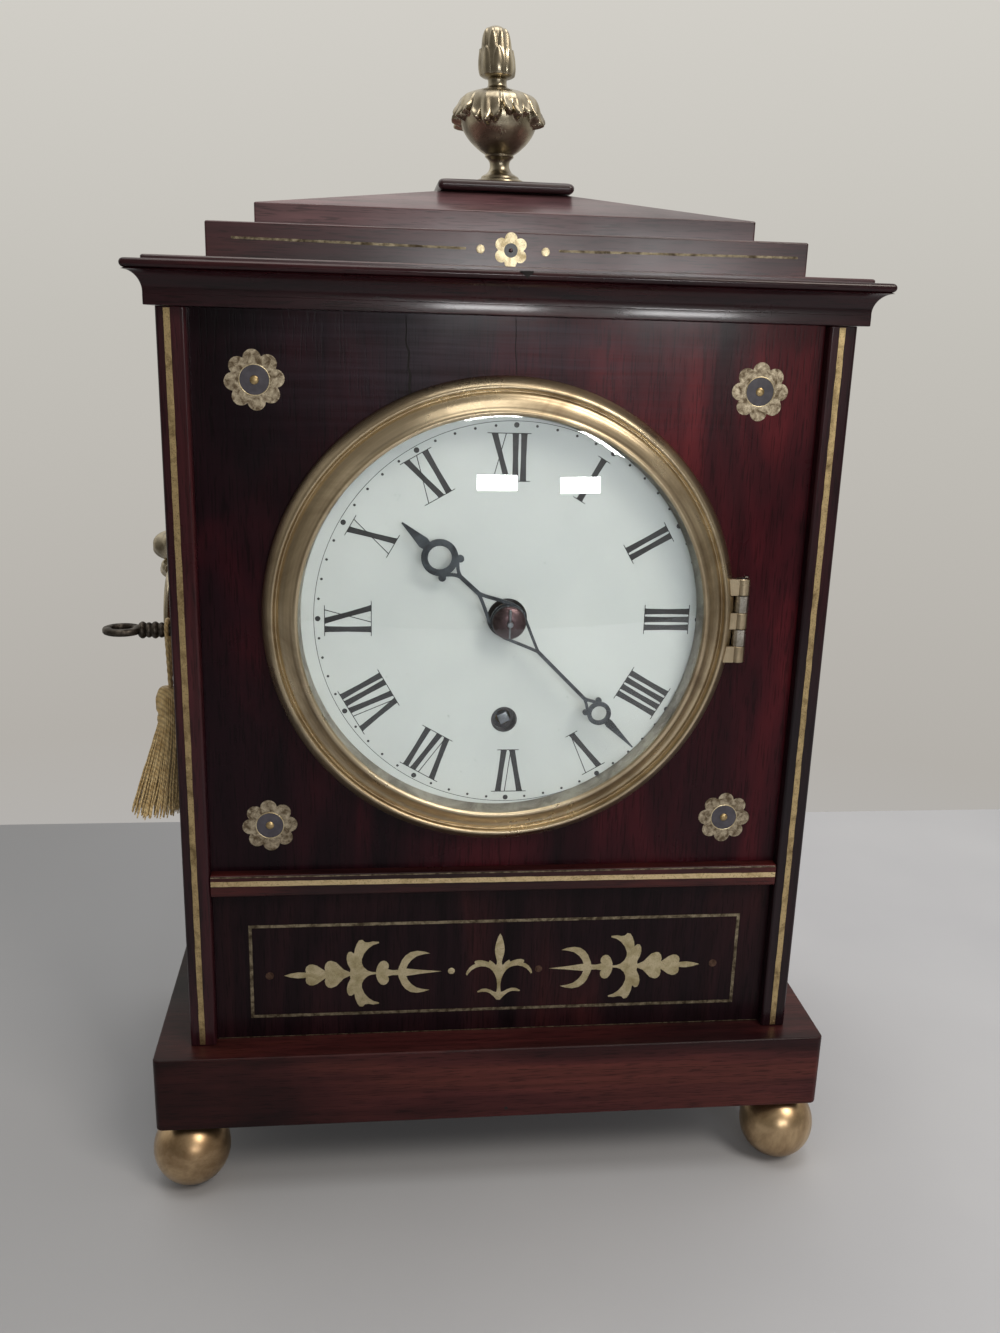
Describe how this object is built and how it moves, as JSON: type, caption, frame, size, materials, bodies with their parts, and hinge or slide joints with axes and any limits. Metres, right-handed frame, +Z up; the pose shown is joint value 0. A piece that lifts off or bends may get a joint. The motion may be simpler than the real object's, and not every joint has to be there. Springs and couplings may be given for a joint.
{
  "type": "fusee clock",
  "caption": "Table clock in an inlaid mahogany case with stepped roof, vase finial, ball feet, ring handles, hinged round bezel, side lock and a fusee movement.",
  "frame": {"origin": "centre of the footprint, on the plane that the ball feet stand on", "axes": "+Z up towards the finial, +Y from the dial towards the back door, +X to the right as seen from the front"},
  "size_m": [0.3469, 0.2014, 0.5411],
  "materials": {
    "mahogany": "french polished, red brown",
    "dark_mahogany": "french polished, nearly black red brown",
    "polished_brass": "polished",
    "antique_brass": "toned, rubbed",
    "hinge_brass": "silvery, worn",
    "movement_brass": "lacquered",
    "steel": "satin",
    "blued_steel": "blue black, satin",
    "iron": "dark, worn",
    "bronze": "dark bronze",
    "dial_enamel": "white enamel paint on brass, satin",
    "glass": "clear",
    "gut": "twisted gut",
    "silk": "silk, matt",
    "pine": "bare"
  },
  "bodies": {
    "case": {"plinth": "mahogany", "foot_front_left": "polished_brass", "foot_front_right": "polished_brass", "foot_rear_left": "polished_brass", "foot_rear_right": "polished_brass", "post_front_left": "dark_mahogany", "post_front_right": "dark_mahogany", "post_rear_left": "dark_mahogany", "post_rear_right": "dark_mahogany", "front_panel": "dark_mahogany", "front_rail": "mahogany", "lower_panel": "dark_mahogany", "side_panel_left": "mahogany", "side_panel_right": "mahogany", "side_fret_left": "polished_brass", "side_fret_right": "polished_brass", "cornice": "mahogany", "lower_roof_step": "mahogany", "upper_roof_step": "mahogany", "finial_pad": "mahogany", "finial": "antique_brass", "bezel_hinge_leaf": "hinge_brass", "bezel_hinge_pin": "steel", "dial": "dial_enamel", "side_lock": "movement_brass", "key_escutcheon": "polished_brass", "handle_mount_left": "antique_brass", "handle_mount_right": "antique_brass", "seat_board": "pine", "front_plate": "movement_brass", "back_plate": "movement_brass", "back_cock": "movement_brass", "line_span": "gut"},
    "bezel_door": {"bezel": "polished_brass", "bezel_glass": "glass"},
    "back_door": {"back_door": "mahogany", "back_door_glass": "glass"},
    "door_turn": {"back_door_turn": "polished_brass"},
    "left_ring": {"handle_ring_left": "antique_brass"},
    "right_ring": {"handle_ring_right": "antique_brass"},
    "key": {"key": "iron"},
    "lock_bolt": {"lock_bolt": "steel"},
    "centre_arbor": {"centre_wheel": "movement_brass", "cannon_wheel": "movement_brass", "minute_hand": "blued_steel", "hand_collet": "bronze"},
    "hour_pipe": {"hour_wheel": "movement_brass", "hour_hand": "blued_steel"},
    "minute_arbor": {"minute_wheel": "movement_brass"},
    "great_wheel": {"great_wheel": "movement_brass"},
    "third_arbor": {"third_wheel": "movement_brass"},
    "escape_arbor": {"escape_wheel": "movement_brass"},
    "fusee": {"fusee": "movement_brass", "fusee_line": "gut"},
    "barrel": {"spring_barrel": "movement_brass", "barrel_line": "gut"},
    "pendulum": {"pendulum": "movement_brass", "pallet_anchor": "steel"},
    "tassel": {"tassel": "silk", "tassel_cord": "silk"}
  },
  "joints": [
    {"name": "bezel_hinge", "type": "hinge", "parent": "case", "child": "bezel_door", "pos_m": [0.11235, -0.0831, 0.28525], "axis": [0, 0, 1], "range_deg": [0, 110]},
    {"name": "back_door_hinge", "type": "hinge", "parent": "case", "child": "back_door", "pos_m": [0.13665, 0.08, 0.245], "axis": [0, 0, -1], "range_deg": [0, 90]},
    {"name": "door_turn_spindle", "type": "hinge", "parent": "back_door", "child": "door_turn", "pos_m": [-0.11915, 0.08, 0.24], "axis": [0, -1, 0], "range_deg": [0, 90]},
    {"name": "left_ring_swing", "type": "hinge", "parent": "case", "child": "left_ring", "pos_m": [-0.15165, 0, 0.291], "axis": [0, 1, 0], "range_deg": [-10, 110]},
    {"name": "right_ring_swing", "type": "hinge", "parent": "case", "child": "right_ring", "pos_m": [0.16395, 0, 0.291], "axis": [0, -1, 0], "range_deg": [-10, 110]},
    {"name": "key_turn", "type": "hinge", "parent": "case", "child": "key", "pos_m": [-0.14385, -0.063, 0.2752], "axis": [1, 0, 0], "range_deg": [0, 91]},
    {"name": "lock_bolt_lift", "type": "slide", "parent": "case", "child": "lock_bolt", "axis": [0, 0, 1], "range_m": [0, 0.007]},
    {"name": "centre_arbor_spin", "type": "hinge", "parent": "case", "child": "centre_arbor", "pos_m": [0.00615, -0.065, 0.28525], "axis": [0, 1, 0], "continuous": true},
    {"name": "hour_pipe_spin", "type": "hinge", "parent": "case", "child": "hour_pipe", "pos_m": [0.00615, -0.075, 0.28525], "axis": [0, 1, 0], "continuous": true},
    {"name": "minute_arbor_spin", "type": "hinge", "parent": "case", "child": "minute_arbor", "pos_m": [0.03015, -0.067, 0.28525], "axis": [0, 1, 0], "continuous": true},
    {"name": "great_wheel_spin", "type": "hinge", "parent": "case", "child": "great_wheel", "pos_m": [0.00615, -0.056, 0.23755], "axis": [0, 1, 0], "continuous": true},
    {"name": "third_arbor_spin", "type": "hinge", "parent": "case", "child": "third_arbor", "pos_m": [-0.01385, -0.035, 0.31004], "axis": [0, 1, 0], "continuous": true},
    {"name": "escape_arbor_spin", "type": "hinge", "parent": "case", "child": "escape_arbor", "pos_m": [0.00615, -0.025, 0.32586], "axis": [0, 1, 0], "continuous": true},
    {"name": "fusee_winding", "type": "hinge", "parent": "great_wheel", "child": "fusee", "pos_m": [0.00615, -0.04, 0.23755], "axis": [0, 1, 0], "range_deg": [-1800, 2520]},
    {"name": "barrel_spin", "type": "hinge", "parent": "case", "child": "barrel", "pos_m": [-0.03885, -0.035, 0.20155], "axis": [0, 1, 0], "range_deg": [-1800, 2520]},
    {"name": "pendulum_swing", "type": "hinge", "parent": "case", "child": "pendulum", "pos_m": [0.00615, -0.005, 0.34376], "axis": [0, 1, 0], "range_deg": [-3, 3]},
    {"name": "tassel_swing", "type": "hinge", "parent": "case", "child": "tassel", "pos_m": [-0.14505, -0.063, 0.2752], "axis": [1, 0, 0], "range_deg": [-25, 25]}
  ],
  "couplings": [
    {"joint": "key_turn", "follows": "lock_bolt_lift", "rad_per_m": 224.4},
    {"joint": "hour_pipe_spin", "follows": "centre_arbor_spin", "ratio": 0.083333},
    {"joint": "minute_arbor_spin", "follows": "centre_arbor_spin", "ratio": -1},
    {"joint": "great_wheel_spin", "follows": "centre_arbor_spin", "ratio": -0.083333},
    {"joint": "third_arbor_spin", "follows": "centre_arbor_spin", "ratio": -12},
    {"joint": "escape_arbor_spin", "follows": "centre_arbor_spin", "ratio": 133.71},
    {"joint": "barrel_spin", "follows": "fusee_winding", "ratio": 0.6409}
  ]
}
